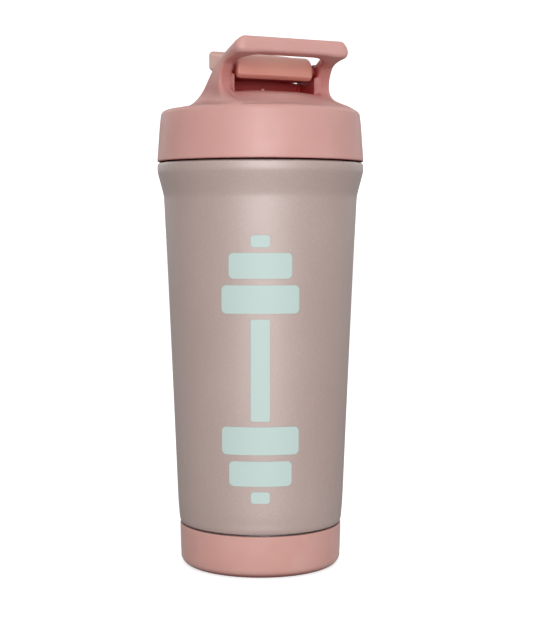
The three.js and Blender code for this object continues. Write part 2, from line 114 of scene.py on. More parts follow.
@dataclass
class Nodes:
    """A material's node tree, with short calls for the nodes that the finishes share."""

    name: str
    material: bpy.types.Material = field(init=False)
    shader: bpy.types.Node = field(init=False)
    place: bpy.types.NodeSocket = field(init=False)

    def __post_init__(self) -> None:
        """Makes the material with its shader and its Object coordinates."""
        self.material = bpy.data.materials.new(self.name)
        self.material.use_nodes = True
        self.shader = self.material.node_tree.nodes["Principled BSDF"]
        self.place = self.add("ShaderNodeTexCoord").outputs["Object"]

    def add(self, kind: str, **settings: object) -> bpy.types.Node:
        """Adds a node and sets the named properties on it."""
        made = self.material.node_tree.nodes.new(kind)
        for key, value in settings.items():
            setattr(made, key, value)
        return made

    def join(self, source: bpy.types.NodeSocket, target: bpy.types.NodeSocket) -> None:
        """Links one socket to another."""
        self.material.node_tree.links.new(source, target)

    def set(self, **values: object) -> None:
        """Sets the shader's own sockets, named with underscores for spaces."""
        for key, value in values.items():
            self.shader.inputs[key.replace("_", " ")].default_value = value

    def noise(self, scale: float, detail: float = 2.0, rough: float = 0.5) -> bpy.types.NodeSocket:
        """A noise pattern on Object coordinates.

        Args:
            scale: Waves per metre.
            detail: Octaves of finer noise.
            rough: Strength of the finer octaves.

        Returns:
            The noise's factor socket.
        """
        made = self.add("ShaderNodeTexNoise")
        made.inputs["Scale"].default_value = scale
        made.inputs["Detail"].default_value = detail
        made.inputs["Roughness"].default_value = rough
        self.join(self.place, made.inputs["Vector"])
        return made.outputs["Fac"]

    def span(self, value: bpy.types.NodeSocket, low: float, high: float, to_low: float,
             to_high: float) -> bpy.types.NodeSocket:
        """Maps a value from one range to another, held at its ends."""
        made = self.add("ShaderNodeMapRange")
        for socket, number in zip(("From Min", "From Max", "To Min", "To Max"), (low, high, to_low, to_high)):
            made.inputs[socket].default_value = number
        self.join(value, made.inputs["Value"])
        return made.outputs["Result"]

    def blend(self, share: bpy.types.NodeSocket, first: Sequence[float],
              second: Sequence[float]) -> bpy.types.NodeSocket:
        """Mixes two colours by a share from 0 to 1."""
        made = self.add("ShaderNodeMix", data_type="RGBA")
        self.join(share, made.inputs[0])
        made.inputs[6].default_value = first
        made.inputs[7].default_value = second
        return made.outputs[2]

    def paint_gap_shade(self, colour: bpy.types.NodeSocket, painted_shade_colour: Sequence[float], reach: float,
                strength: float) -> bpy.types.NodeSocket:
        """Paints shade into a colour where the surface is closed in: an ambient-occlusion factor darkens it towards a
        shade colour in gaps and hollows.

        Args:
            colour: The open surface's colour.
            painted_shade_colour: The painted shade colour that gaps and hollows darken to.
            reach: Millimetres over which a surface counts as closed in.
            strength: Exponent of the change, larger for a stronger one.

        Returns:
            The mixed colour.
        """
        # painted shade: ambient occlusion sets how far each point moves from its colour to the shade colour
        closed = self.add("ShaderNodeAmbientOcclusion", samples=8)
        closed.inputs["Distance"].default_value = reach * MM
        power = self.add("ShaderNodeMath", operation="POWER", use_clamp=True)
        self.join(closed.outputs["AO"], power.inputs[0])
        power.inputs[1].default_value = strength
        made = self.add("ShaderNodeMix", data_type="RGBA")
        self.join(power.outputs[0], made.inputs[0])
        made.inputs[6].default_value = painted_shade_colour
        self.join(colour, made.inputs[7])
        return made.outputs[2]

    def emboss(self, layers: Iterable[tuple[bpy.types.NodeSocket, float, float]]) -> None:
        """Stacks bump layers onto the shader's normal.

        Args:
            layers: Height socket, strength and depth in millimetres of each layer.
        """
        last = None
        for height, strength, depth in layers:
            made = self.add("ShaderNodeBump")
            made.inputs["Strength"].default_value = strength
            made.inputs["Distance"].default_value = depth * MM
            self.join(height, made.inputs["Height"])
            if last is not None:
                self.join(last, made.inputs["Normal"])
            last = made.outputs["Normal"]
        self.join(last, self.shader.inputs["Normal"])


@dataclass(frozen=True)
class MouldedPlastic:
    """Satin injection-moulded plastic: even colour, faint random flow tone, a silky tool texture, and painted shade
    that darkens it to red in gaps and hollows.
    """

    name: str
    colour: tuple[float, float, float, float]
    shade: tuple[float, float, float, float]
    # painted shade colour, dark red, that the plastic darkens to in gaps and hollows
    painted_shade_colour: tuple[float, float, float, float] = tone(150, 0, 0)
    roughness: float = 0.48
    glow: float = 0.12  # how much light spreads under the surface
    depth: float = 2.1  # how strongly painted shade darkens the colour where the moulding is closed in

    def make(self) -> bpy.types.Material:
        """Builds the material."""
        n = Nodes(self.name)
        flow = n.span(n.noise(38.0, 3.0), 0.3, 0.7, 0.0, 1.0)
        # painted shade: ambient occlusion darkens the colour towards dark red within 16 mm of closed-in surfaces
        n.join(n.paint_gap_shade(n.blend(flow, self.shade, self.colour), self.painted_shade_colour, 16.0, self.depth),
               n.shader.inputs["Base Color"])
        rub = n.span(n.noise(140.0, 4.0, 0.6), 0.35, 0.7, self.roughness - 0.05, self.roughness + 0.07)
        n.join(rub, n.shader.inputs["Roughness"])
        n.set(Subsurface_Weight=self.glow, Subsurface_Radius=(1.0, 0.25, 0.18), Subsurface_Scale=0.0022,
              Specular_IOR_Level=0.55, Coat_Weight=0.12, Coat_Roughness=0.5)
        n.emboss([(n.noise(Grain.SILK.value, 1.0), 0.16, 0.035), (n.noise(90.0, 2.0), 0.10, 0.12)])
        return n.material


@dataclass(frozen=True)
class PowderCoat:
    """Fine-textured powder coat on steel: orange peel, tiny sparks of lighter grain, a soft sheen, and painted shade
    that darkens it to brown-red in seams.
    """

    name: str
    colour: tuple[float, float, float, float]
    speck: tuple[float, float, float, float]
    roughness: float = 0.5

    def make(self) -> bpy.types.Material:
        """Builds the material."""
        n = Nodes(self.name)
        drift = n.span(n.noise(22.0, 2.0), 0.3, 0.7, 0.0, 0.35)
        grain = n.span(n.noise(Grain.SPARK.value, 3.0, 0.7), 0.42, 0.66, 0.0, 0.55)
        both = n.add("ShaderNodeMath", operation="ADD", use_clamp=True)
        n.join(drift, both.inputs[0])
        n.join(grain, both.inputs[1])
        # painted shade: ambient occlusion darkens the coat to dark brown-red in seams within 2.5 mm
        n.join(n.paint_gap_shade(n.blend(both.outputs[0], self.colour, self.speck), tone(64, 20, 12), 2.5, 1.6),
               n.shader.inputs["Base Color"])
        rub = n.span(n.noise(900.0, 2.0), 0.3, 0.7, self.roughness - 0.06, self.roughness + 0.08)
        n.join(rub, n.shader.inputs["Roughness"])
        n.set(Specular_IOR_Level=0.9, Coat_Weight=1.0, Coat_Roughness=0.55, Coat_IOR=2.0)
        n.emboss([(n.noise(Grain.POWDER.value, 2.0, 0.6), 0.5, 0.05), (n.noise(700.0, 1.0), 0.22, 0.05)])
        return n.material


@dataclass(frozen=True)
class SpunSteel:
    """Stainless steel with the fine rings of a spun or brushed finish."""

    name: str
    colour: tuple[float, float, float, float]
    roughness: float = 0.26
    rings: float = 2400.0  # rings per metre of height

    def make(self) -> bpy.types.Material:
        """Builds the material."""
        n = Nodes(self.name)
        stretch = n.add("ShaderNodeMapping")
        stretch.inputs["Scale"].default_value = (0.02, 0.02, 1.0)
        n.join(n.place, stretch.inputs["Vector"])
        rings = n.add("ShaderNodeTexNoise")
        rings.inputs["Scale"].default_value = self.rings
        rings.inputs["Detail"].default_value = 3.0
        n.join(stretch.outputs["Vector"], rings.inputs["Vector"])
        fine = rings.outputs["Fac"]
        dark = tuple(0.82 * c for c in self.colour[:3]) + (1.0,)
        n.join(n.blend(fine, dark, self.colour), n.shader.inputs["Base Color"])
        n.join(n.span(fine, 0.2, 0.8, self.roughness - 0.06, self.roughness + 0.1), n.shader.inputs["Roughness"])
        n.set(Metallic=1.0)
        n.emboss([(fine, 0.12, 0.02), (n.noise(60.0), 0.05, 0.2)])
        return n.material


@dataclass(frozen=True)
class SoftSilicone:
    """Matt silicone rubber with a velvety bloom, a faint mould grain, and painted shade that darkens it in gaps."""

    name: str
    colour: tuple[float, float, float, float]
    shade: tuple[float, float, float, float]
    roughness: float = 0.56
    glow: float = 0.18
    # painted shade colour that the silicone darkens to in gaps
    painted_shade_colour: tuple[int, int, int] = (120, 20, 12)

    def make(self) -> bpy.types.Material:
        """Builds the material."""
        n = Nodes(self.name)
        cloud = n.span(n.noise(45.0, 4.0, 0.6), 0.3, 0.7, 0.0, 1.0)
        # painted shade: ambient occlusion darkens the colour in gaps within 2.5 mm
        n.join(n.paint_gap_shade(n.blend(cloud, self.shade, self.colour), tone(*self.painted_shade_colour), 2.5, 1.4),
               n.shader.inputs["Base Color"])
        n.join(n.span(n.noise(200.0, 3.0), 0.3, 0.7, self.roughness - 0.05, self.roughness + 0.06),
               n.shader.inputs["Roughness"])
        n.set(Subsurface_Weight=self.glow, Subsurface_Radius=(1.0, 0.3, 0.22), Subsurface_Scale=0.002,
              Sheen_Weight=0.2, Sheen_Roughness=0.4)
        n.emboss([(n.noise(3400.0, 2.0), 0.22, 0.04), (n.noise(120.0), 0.10, 0.10)])
        return n.material


@dataclass(frozen=True)
class PrintInk:
    """Screen-printed ink, a touch smoother than the coat that it lies on and thin at its pinholes."""

    name: str
    colour: tuple[float, float, float, float]
    thin: tuple[float, float, float, float]

    def make(self) -> bpy.types.Material:
        """Builds the material."""
        n = Nodes(self.name)
        pins = n.span(n.noise(Grain.SPARK.value, 3.0, 0.7), 0.55, 0.8, 0.0, 0.5)
        n.join(n.blend(pins, self.colour, self.thin), n.shader.inputs["Base Color"])
        n.join(n.span(n.noise(500.0, 2.0), 0.3, 0.7, 0.42, 0.54), n.shader.inputs["Roughness"])
        n.emboss([(n.noise(Grain.POWDER.value, 2.0, 0.6), 0.3, 0.04)])
        return n.material


# ---------------------------------------------------------------- meshes


def stand(name: str, data: bpy.types.ID) -> bpy.types.Object:
    """Puts data into the scene as an object at the origin."""
    made = bpy.data.objects.new(name, data)
    bpy.context.scene.collection.objects.link(made)
    return made


def place_mesh(name: str, points: Array, faces: Array | list, material: bpy.types.Material,
               normals: Array | None = None) -> bpy.types.Object:
    """Makes a smooth-shaded object at the origin.

    Args:
        name: The piece's name.
        points: Corner positions in millimetres.
        faces: Corner numbers of each face.
        material: The piece's finish.
        normals: Shading normals at the corners, where they are known exactly.

    Returns:
        The object.
    """
    mesh = bpy.data.meshes.new(name)
    mesh.from_pydata((np.asarray(points, float) * MM).tolist(), [], [list(map(int, f)) for f in faces])
    mesh.shade_smooth()
    mesh.materials.append(material)
    if normals is not None:
        mesh.normals_split_custom_set_from_vertices(normals.tolist())
    return stand(name, mesh)


def arc(cx: float, cy: float, r: float, a0: float, a1: float, steps: int) -> Outline:
    """Points of an arc from angle a0 to a1 in degrees, both ends included."""
    turns = np.radians(np.linspace(a0, a1, steps + 1))
    return [(cx + r * math.cos(a), cy + r * math.sin(a)) for a in turns]


def bend(p0: Sequence[float], p1: Sequence[float], p2: Sequence[float], steps: int = 8) -> Outline:
    """Points of a quadratic curve from p0 towards p1 and on to p2, without p0."""
    made = []
    for i in range(1, steps + 1):
        t = i / steps
        made.append(tuple((1 - t) ** 2 * a + 2 * t * (1 - t) * b + t * t * c for a, b, c in zip(p0, p1, p2)))
    return made


def eased(points: Outline, steps: int = 4) -> Outline:
    """A smooth line through points, as a Catmull-Rom curve.

    Args:
        points: The points that the line passes through.
        steps: Stretches between one point and the next.

    Returns:
        The line's points, ends included.
    """
    p = [np.array(q, float) for q in [points[0], *points, points[-1]]]
    made: Outline = []
    for a, b, c, d in zip(p, p[1:], p[2:], p[3:]):
        for i in range(steps):
            t = i / steps
            q = 0.5 * (2 * b + (c - a) * t + (2 * a - 5 * b + 4 * c - d) * t**2 + (3 * b - a - 3 * c + d) * t**3)
            made.append((float(q[0]), float(q[1])))
    made.append(tuple(points[-1]))
    return made


def rounded(points: Outline, radius: float, steps: int = 4) -> Outline:
    """A closed outline with each corner cut back to a curve.

    Args:
        points: The outline's corners.
        radius: Length that a corner's curve takes from each side, at most 45% of that side.
        steps: Stretches in each curve.

    Returns:
        The softened outline.
    """
    made: Outline = []
    count = len(points)
    for i, corner in enumerate(points):
        before, here, after = (np.array(q, float) for q in (points[i - 1], corner, points[(i + 1) % count]))
        ends = []
        for other in (before, after):
            way = other - here
            length = float(np.linalg.norm(way))
            ends.append(here + way / length * min(radius, 0.45 * length))
        made.append(tuple(ends[0]))
        made.extend(bend(ends[0], here, ends[1], steps))
    return made


def turn_up(name: str, outline: Outline, material: bpy.types.Material, segments: int = ROUND,
            closed: bool = True) -> bpy.types.Object:
    """A piece of revolution about Z.

    Args:
        name: The piece's name.
        outline: Radius and height of each point. A closed outline makes a ring; an open one starts and ends
            on the axis.
        material: Its finish.
        segments: Segments round the axis.
        closed: Whether the outline closes on itself.

    Returns:
        The object, with its faces pointing out.
    """
    mesh = bmesh.new()
    angles = [2 * math.pi * i / segments for i in range(segments)]
    rows = []
    for r, z in outline:
        if r < 1e-6:
            rows.append([mesh.verts.new((0, 0, z * MM))] * segments)
        else:
            rows.append([mesh.verts.new((r * math.cos(a) * MM, r * math.sin(a) * MM, z * MM)) for a in angles])
    pairs = list(zip(rows, rows[1:]))
    if closed:
        pairs.append((rows[-1], rows[0]))
    for low, high in pairs:
        for i in range(segments):
            j = (i + 1) % segments
            corners = list(dict.fromkeys((low[i], low[j], high[j], high[i])))
            if len(corners) > 2:
                mesh.faces.new(corners)
    if mesh.calc_volume(signed=True) < 0:
        bmesh.ops.reverse_faces(mesh, faces=mesh.faces)
    data = bpy.data.meshes.new(name)
    mesh.to_mesh(data)
    mesh.free()
    data.shade_smooth()
    data.materials.append(material)
    return stand(name, data)


def soften_by_angle(piece: bpy.types.Object, degrees: float = 38.0) -> None:
    """Keeps edges sharper than an angle crisp in a smooth-shaded piece."""
    limit = math.radians(degrees)
    mesh = bmesh.new()
    mesh.from_mesh(piece.data)
    for edge in mesh.edges:
        edge.smooth = len(edge.link_faces) != 2 or edge.calc_face_angle(0.0) < limit
    mesh.to_mesh(piece.data)
    mesh.free()


def ride(piece: bpy.types.Object, body: str, slot: str, *nodes: str) -> None:
    """Puts a finished piece on its body.

    Args:
        piece: The piece.
        body: The CAD body that it moves with.
        slot: The record's material slot that it shows; not used.
        nodes: CAD nodes that it stands for.
    """
    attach(piece, body)
    if nodes:
        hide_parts(*nodes)
    log.info("%s: %d faces on %s", piece.name, len(piece.data.polygons), body)


# ---------------------------------------------------------------- solids described by distance


def smooth_min(a: Array, b: Array, k: float | Array) -> Array:
    """Joins two distances with a fillet about k wide."""
    h = np.maximum(k - np.abs(a - b), 0.0)
    return np.minimum(a, b) - h * h / (4 * k)


def smooth_max(a: Array, b: Array, k: float) -> Array:
    """Overlaps two distances with an edge rounded about k wide."""
    return -smooth_min(-a, -b, k)


def outline_distance(outline: Outline, u: Array, v: Array) -> Array:
    """Signed distance in the plane from (u, v) to a closed outline, negative inside it."""
    nearest = np.full(np.broadcast(u, v).shape, 1e9, np.float32)
    inside = np.zeros(nearest.shape, bool)
    for (ax, ay), (bx, by) in zip(outline, outline[1:] + outline[:1]):
        ex, ey = bx - ax, by - ay
        wx, wy = u - ax, v - ay
        t = np.clip((wx * ex + wy * ey) / (ex * ex + ey * ey), 0.0, 1.0)
        nearest = np.minimum(nearest, (wx - ex * t) ** 2 + (wy - ey * t) ** 2)
        if ey != 0.0:
            inside ^= ((ay > v) != (by > v)) & (u < ax + ex * (v - ay) / ey)
    return np.where(inside, -1.0, 1.0) * np.sqrt(nearest)


def crossed(a: Array, b: Array, r: float | Array) -> Array:
    """The space inside both distances, with the edge between them rounded to radius r."""
    qa, qb = a + r, b + r
    return np.minimum(np.maximum(qa, qb), 0.0) + np.hypot(np.maximum(qa, 0.0), np.maximum(qb, 0.0)) - r


def value_and_slope(shape: Field, points: Array) -> tuple[Array, Array]:
    """The distance and its gradient at points, from four samples close by."""
    step = 0.04
    corners = np.array([(1, 1, 1), (1, -1, -1), (-1, 1, -1), (-1, -1, 1)], float)
    samples = [shape(*(points + step * c).T) for c in corners]
    slope = sum(s[:, None] * c for s, c in zip(samples, corners)) / (4 * step)
    return sum(samples) / 4, slope


def near_surface(shape: Field, axes: Sequence[Array], step: float) -> Array:
    """The distance on a grid, worked out finely only close to the surface.

    Args:
        shape: Signed distance in millimetres at x, y and z.
        axes: Grid positions along x, y and z.
        step: Distance between neighbours.

    Returns:
        The distance at every grid point; far from the surface only its sign is right.
    """
    block = 4
    middles = [a[::block] + step * (block - 1) / 2 for a in axes]
    coarse = shape(middles[0][:, None, None], middles[1][None, :, None], middles[2][None, None, :])
    value = np.broadcast_to(coarse, [len(m) for m in middles])
    for axis in range(3):
        value = np.repeat(value, block, axis)
    value = value[tuple(slice(len(a)) for a in axes)].astype(np.float32)
    close = np.argwhere(np.abs(value) < 1.3 * block * step)
    places = [a[close[:, i]] for i, a in enumerate(axes)]
    value[tuple(close.T)] = shape(*places)
    return value


def skin(name: str, shape: Field, low: Sequence[float], high: Sequence[float], step: float,
         material: bpy.types.Material) -> bpy.types.Object:
    """Wraps a mesh round the space where a distance is negative.

    A grid of cells is laid over the box, each cell that the surface passes through gets one corner, and the
    corners are then moved onto the surface and shaded by its own slope.

    Args:
        name: The piece's name.
        shape: Signed distance in millimetres at x, y and z.
        low: The box's lowest corner.
        high: The box's highest corner.
        step: Size of a cell.
        material: The piece's finish.

    Returns:
        The object.
    """
    margin = 2.4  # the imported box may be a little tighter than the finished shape
    axes = [np.arange(a - margin, b + margin, step) for a, b in zip(low, high)]
    size = tuple(len(a) for a in axes)
    value = near_surface(shape, axes, step)
    inside = value < 0
    corners = [(i, j, k) for i in (0, 1) for j in (0, 1) for k in (0, 1)]
    held = sum(inside[i:size[0] - 1 + i, j:size[1] - 1 + j, k:size[2] - 1 + k].astype(np.uint8)
               for i, j, k in corners)
    active = (held > 0) & (held < 8)
    cells = np.argwhere(active)
    number = np.full(active.shape, -1, np.int64)
    number[active] = np.arange(len(cells))
    at = {c: value[cells[:, 0] + c[0], cells[:, 1] + c[1], cells[:, 2] + c[2]] for c in corners}
    total, hits = np.zeros((len(cells), 3)), np.zeros(len(cells))
    for a in corners:
        for axis in range(3):
            if a[axis]:
                continue
            b = tuple(1 if i == axis else a[i] for i in range(3))
            cross = (at[a] < 0) != (at[b] < 0)
            share = at[a][cross] / (at[a][cross] - at[b][cross])
            total[cross] += np.array(a) + share[:, None] * (np.array(b) - np.array(a))
            hits[cross] += 1
    points = np.array([a[0] for a in axes]) + (cells + total / hits[:, None]) * step
    faces = []
    for axis in range(3):
        b, c = (axis + 1) % 3, (axis + 2) % 3
        near = tuple(slice(None, -1) if i == axis else slice(None) for i in range(3))
        far = tuple(slice(1, None) if i == axis else slice(None) for i in range(3))
        edge = np.argwhere(inside[near] != inside[far])
        ring = []
        for db, dc in ((1, 1), (0, 1), (0, 0), (1, 0)):
            cell = edge.copy()
            cell[:, b] -= db
            cell[:, c] -= dc
            ring.append(number[tuple(cell.T)])
        quads = np.stack(ring, 1)
        inward = ~inside[tuple(edge.T)]
        quads[inward] = quads[inward, ::-1]
        faces.append(quads)
    for _ in range(3):
        depth, slope = value_and_slope(shape, points)
        steep = np.maximum((slope**2).sum(1), 0.3)
        points -= np.clip(depth / steep, -0.4 * step, 0.4 * step)[:, None] * slope
    slope = value_and_slope(shape, points)[1]
    slope /= np.maximum(np.linalg.norm(slope, axis=1), 1e-6)[:, None]
    return place_mesh(name, points, np.concatenate(faces), material, slope)


# ---------------------------------------------------------------- geometry-node windings and lattices


@dataclass
class Pattern:
    """A geometry-node tree with named size inputs, turned into a plain mesh."""

    name: str
    sizes: dict[str, float]
    tree: bpy.types.NodeTree = field(init=False)
    given: bpy.types.Node = field(init=False)

    def __post_init__(self) -> None:
        """Makes the tree, its size inputs and its geometry output."""
        self.tree = bpy.data.node_groups.new(self.name, "GeometryNodeTree")
        for key in self.sizes:
            self.tree.interface.new_socket(key, in_out="INPUT", socket_type="NodeSocketFloat")
        self.tree.interface.new_socket("Geometry", in_out="OUTPUT", socket_type="NodeSocketGeometry")
        self.given = self.tree.nodes.new("NodeGroupInput")

    def add(self, kind: str, inputs: dict | None = None, **settings: object) -> bpy.types.Node:
        """Adds a node, sets its properties, and sets or links its inputs."""
        made = self.tree.nodes.new(kind)
        for key, value in settings.items():
            setattr(made, key, value)
        for key, value in (inputs or {}).items():
            if isinstance(value, bpy.types.NodeSocket):
                self.tree.links.new(value, made.inputs[key])
            else:
                made.inputs[key].default_value = value
        return made

    def size(self, key: str) -> bpy.types.NodeSocket:
        """One of the tree's size inputs."""
        return self.given.outputs[key]

    def math(self, operation: str, *values: object) -> bpy.types.NodeSocket:
        """A sum of numbers or sockets."""
        return self.add("ShaderNodeMath", dict(enumerate(values)), operation=operation).outputs[0]

    def pair(self, *sources: bpy.types.NodeSocket) -> bpy.types.NodeSocket:
        """Joins several geometries."""
        both = self.add("GeometryNodeJoinGeometry")
        for source in sources:
            self.tree.links.new(source, both.inputs[0])
        return both.outputs[0]

    def make(self, geometry: bpy.types.NodeSocket, material: bpy.types.Material) -> bpy.types.Object:
        """Ends the tree and returns its result as an object with a plain mesh."""
        real = self.add("GeometryNodeRealizeInstances", {"Geometry": geometry}).outputs[0]
        dressed = self.add("GeometryNodeSetMaterial", {"Geometry": real, "Material": material}).outputs[0]
        self.tree.links.new(dressed, self.tree.nodes.new("NodeGroupOutput").inputs[0])
        made = stand(self.name, bpy.data.meshes.new(self.name))
        modifier = made.modifiers.new(self.name, "NODES")
        modifier.node_group = self.tree
        for item in self.tree.interface.items_tree:
            if item.in_out == "INPUT":
                modifier[item.identifier] = float(self.sizes[item.name])
        ready = made.evaluated_get(bpy.context.evaluated_depsgraph_get())
        made.data = bpy.data.meshes.new_from_object(ready)
        made.modifiers.clear()
        made.data.name = self.name
        return made


@dataclass(frozen=True)
class Winding:
    """A two-start screw thread, wound on a wall."""

    lead: float = 10.0
    turn: float = 220.0
    root: float = 2.3
    crest: float = 1.3
    sink: float = 0.35
    steps_per_turn: int = 120

    def make(self, name: str, wall: float, reach: float, start: float,
             material: bpy.types.Material) -> bpy.types.Object:
        """Winds the thread.

        Args:
            name: The piece's name.
            wall: Radius of the wall that it stands on.
            reach: Height of the ridge from the wall, negative where it points inwards.
            start: Height of its middle where it starts.
            material: Its finish.

        Returns:
            The thread as one object.
        """
        side = math.copysign(1.0, reach)
        middle = wall + (reach - side * self.sink) / 2
        p = Pattern(name, {"Radius": middle * MM, "Rise": self.lead * self.turn / 360 * MM,
                           "Turns": self.turn / 360, "Depth": (abs(reach) + self.sink) * MM,
                           "Root": self.root * MM, "Crest": self.crest * MM})
        spiral = p.add("GeometryNodeCurveSpiral", {
            "Resolution": self.steps_per_turn, "Rotations": p.size("Turns"), "Start Radius": p.size("Radius"),
            "End Radius": p.size("Radius"), "Height": p.size("Rise")})
        upright = p.add("GeometryNodeSetCurveNormal", {"Curve": spiral.outputs[0]})
        upright.mode = "Z_UP"
        section = p.add("GeometryNodeCurvePrimitiveQuadrilateral", {
            "Height": p.size("Depth"), "Bottom Width": p.size("Root"), "Top Width": p.size("Crest"),
            "Offset": 0.0}, mode="TRAPEZOID")
        turned = p.add("GeometryNodeTransform", {
            "Geometry": section.outputs[0], "Rotation": (0.0, 0.0, side * math.pi / 2)})
        ridge = p.add("GeometryNodeCurveToMesh", {
            "Curve": upright.outputs[0], "Profile Curve": turned.outputs[0], "Fill Caps": True})
        other = p.add("GeometryNodeTransform", {"Geometry": ridge.outputs[0], "Rotation": (0.0, 0.0, math.pi)})
        made = p.make(p.pair(ridge.outputs[0], other.outputs[0]), material)
        made.data.transform(Matrix.Translation((0, 0, start * MM)))
        turn_out(made)
        return made


def turn_out(piece: bpy.types.Object) -> None:
    """Points a closed mesh's faces outwards."""
    mesh = bmesh.new()
    mesh.from_mesh(piece.data)
    bmesh.ops.remove_doubles(mesh, verts=mesh.verts, dist=1e-7)
    bmesh.ops.recalc_face_normals(mesh, faces=mesh.faces)
    mesh.to_mesh(piece.data)
    mesh.free()


# ---------------------------------------------------------------- the bottle


@dataclass
class SteelBottle:
    """The painted outer wall, the liner, and the disc, solder and getter under it."""

    band: float = 47.0
    wall: float = 0.55
    neck: float = 41.5
    neck_height: float = 17.7
    liner_wall: float = 0.5
    vacuum: float = 2.7
    thread_height: float = 1.4
    thread_above: float = 6.2
    foot_rim: float = 19.9
    fit: float = 0.35
    boot_wall: float = 1.85  # thickness of the boot that sleeves the foot
    coat: PowderCoat = PowderCoat("powder_coat_pink", tone(178, 151, 143), tone(194, 171, 163))
    bare: SpunSteel = SpunSteel("stainless_brushed", tone(196, 197, 199))
    dull: SpunSteel = SpunSteel("solder_dull", tone(150, 152, 155), 0.48, 900.0)
    line: Array = field(init=False, repr=False)

    def side(self) -> Outline:
        """Radius and height of the painted wall from the foot's rim up to the band's top."""
        up = SHOULDER
        return eased([
            (37.0, self.foot_rim + 0.25), (37.42, 21.9), (37.62, 24.4), (38.0, 29.0), (38.45, 39.0),
            (39.3, 60.0), (41.15, 104.0), (42.7, 140.0), (43.42, up - 30.5), (43.64, up - 25.9),
            (43.86, up - 21.2), (44.06, up - 17.2), (44.22, up - 15.2), (44.62, up - 13.2), (45.28, up - 10.6),
            (45.98, up - 8.0), (46.56, up - 5.8), (46.88, up - 4.4), (self.band, up - 3.2),
            (self.band, up - 2.0)], 5)

    def __post_init__(self) -> None:
        """Keeps the wall's line for the pieces that follow it."""
        self.line = np.array(self.side())

    def radius_at(self, z: float) -> float:
        """Radius of the painted wall at a height."""
        return float(np.interp(z, self.line[:, 1], self.line[:, 0]))

    def build(self) -> None:
        """Builds and dresses the steel pieces."""
        coat, bare = self.coat.make(), self.bare.make()
        lip = SHOULDER + self.neck_height
        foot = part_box("base_boot")[1].x / MM
        inner_foot = foot - self.boot_wall - self.fit
        bottom = lowest("outer_shell")
        outside = [
            (inner_foot - 3.6, bottom), *arc(inner_foot - 2.0, bottom + 2.0, 2.0, -90, 0, 8),
            (inner_foot, self.foot_rim - 0.35), (36.6, self.foot_rim - 0.1), *self.side(),
            *arc(self.band - 1.3, SHOULDER - 1.3, 1.3, 0, 90, 8)[1:],
            (self.neck + 1.2, SHOULDER), (self.neck + 0.3, SHOULDER + 0.3), (self.neck, SHOULDER + 1.0),
            (self.neck, lip - self.liner_wall - self.fit)]
        inside = [(r - self.wall, z + (self.wall if z < bottom + 2.5 else 0.0) - (self.wall if r > self.neck + 0.2
                   and z > SHOULDER - 1.3 else 0.0)) for r, z in outside]
        inside[-1] = (self.neck - self.wall, lip - self.liner_wall - self.fit)
        shell = turn_up("outer_shell_coated", outside + inside[::-1], coat)
        shell.data.materials.append(bare)
        for face in shell.data.polygons:
            out, z = math.hypot(face.center.x, face.center.y) / MM, face.center.z / MM
            coated = SHOULDER > z > self.foot_rim - 0.3 and out > self.radius_at(z) - self.wall / 2
            face.material_index = 0 if coated or (z > SHOULDER - 0.3 and out > self.neck + 1.0) else 1
        soften_by_angle(shell)
        ride(shell, "bottle", "powder_coat", "outer_shell")
        thread = Winding().make("neck_thread", self.neck, self.thread_height, SHOULDER + self.thread_above, bare)
        ride(thread, "bottle", "steel")
        ride(self.liner(bare, lip), "bottle", "steel", "inner_liner")
        ride(self.disc(bare, inner_foot, bottom), "bottle", "steel", "base_disc")
        dull = self.dull.make()
        for node in ("vacuum_seal", "getter"):
            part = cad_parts[node]
            part.data.materials.clear()
            part.data.materials.append(dull)

    def liner(self, steel: bpy.types.Material, lip: float) -> bpy.types.Object:
        """The tapered cup whose lip folds over the outer wall's edge."""
        out = self.neck - self.wall - self.fit
        floor, corner = lowest("inner_liner"), 8.0

        def at(z: float) -> float:
            """Outer radius of the liner at a height."""
            return min(out, self.radius_at(z) - self.wall - self.vacuum)

        heights = [floor + corner + 4, 60.0, 90.0, 120.0, SHOULDER - 36.0]
        base = at(heights[0]) - corner
        wall = self.liner_wall
        outside = [(0.0, floor), *arc(base, floor + corner, corner, -90, 0, 12), *[(at(z), z) for z in heights],
                   (out, SHOULDER - 16), (out, lip - wall), (self.neck, lip - wall),
                   *arc(self.neck, lip - wall / 2, wall / 2, -90, 90, 6)]
        inside = [(0.0, floor + wall), *arc(base, floor + corner, corner - wall, -90, 0, 12),
                  *[(at(z) - wall, z) for z in heights], (out - wall, SHOULDER - 16), (out - wall, lip - 0.5),
                  (out - wall + 0.2, lip)]
        made = turn_up("inner_liner_steel", outside + inside[::-1], steel, closed=False)
        soften_by_angle(made, 50)
        return made

    def disc(self, steel: bpy.types.Material, inner_foot: float, bottom: float) -> bpy.types.Object:
        """The pressed disc in the foot, with its dimple and pump hole."""
        low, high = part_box("base_disc")
        edge, rim, thick = high.x / MM, low.z / MM, 0.7
        flat, dimple, top = rim + 1.4, 9.0, 1.1
        under = eased([(1.5, flat + top), (dimple - 1.6, flat + top), (dimple - 0.4, flat + 0.5), (dimple + 1.0, flat),
                       (edge - 4.0, flat), (edge - 3.0, rim + 0.8), (edge - 2.2, rim), (edge - 1.2, rim + 0.1),
                       (edge, rim + 1.6), (edge, rim + 2.6)], 3)
        over = [(edge - thick, rim + 2.6), (edge - thick, rim + 1.9), (edge - 1.7, rim + thick),
                (edge - 2.3, rim + thick), (edge - 3.2, flat + thick), (dimple + 1.0, flat + thick),
                (dimple - 1.4, flat + top + thick), (1.5, flat + top + thick)]
        return turn_up("base_disc_pressed", under + over, steel)


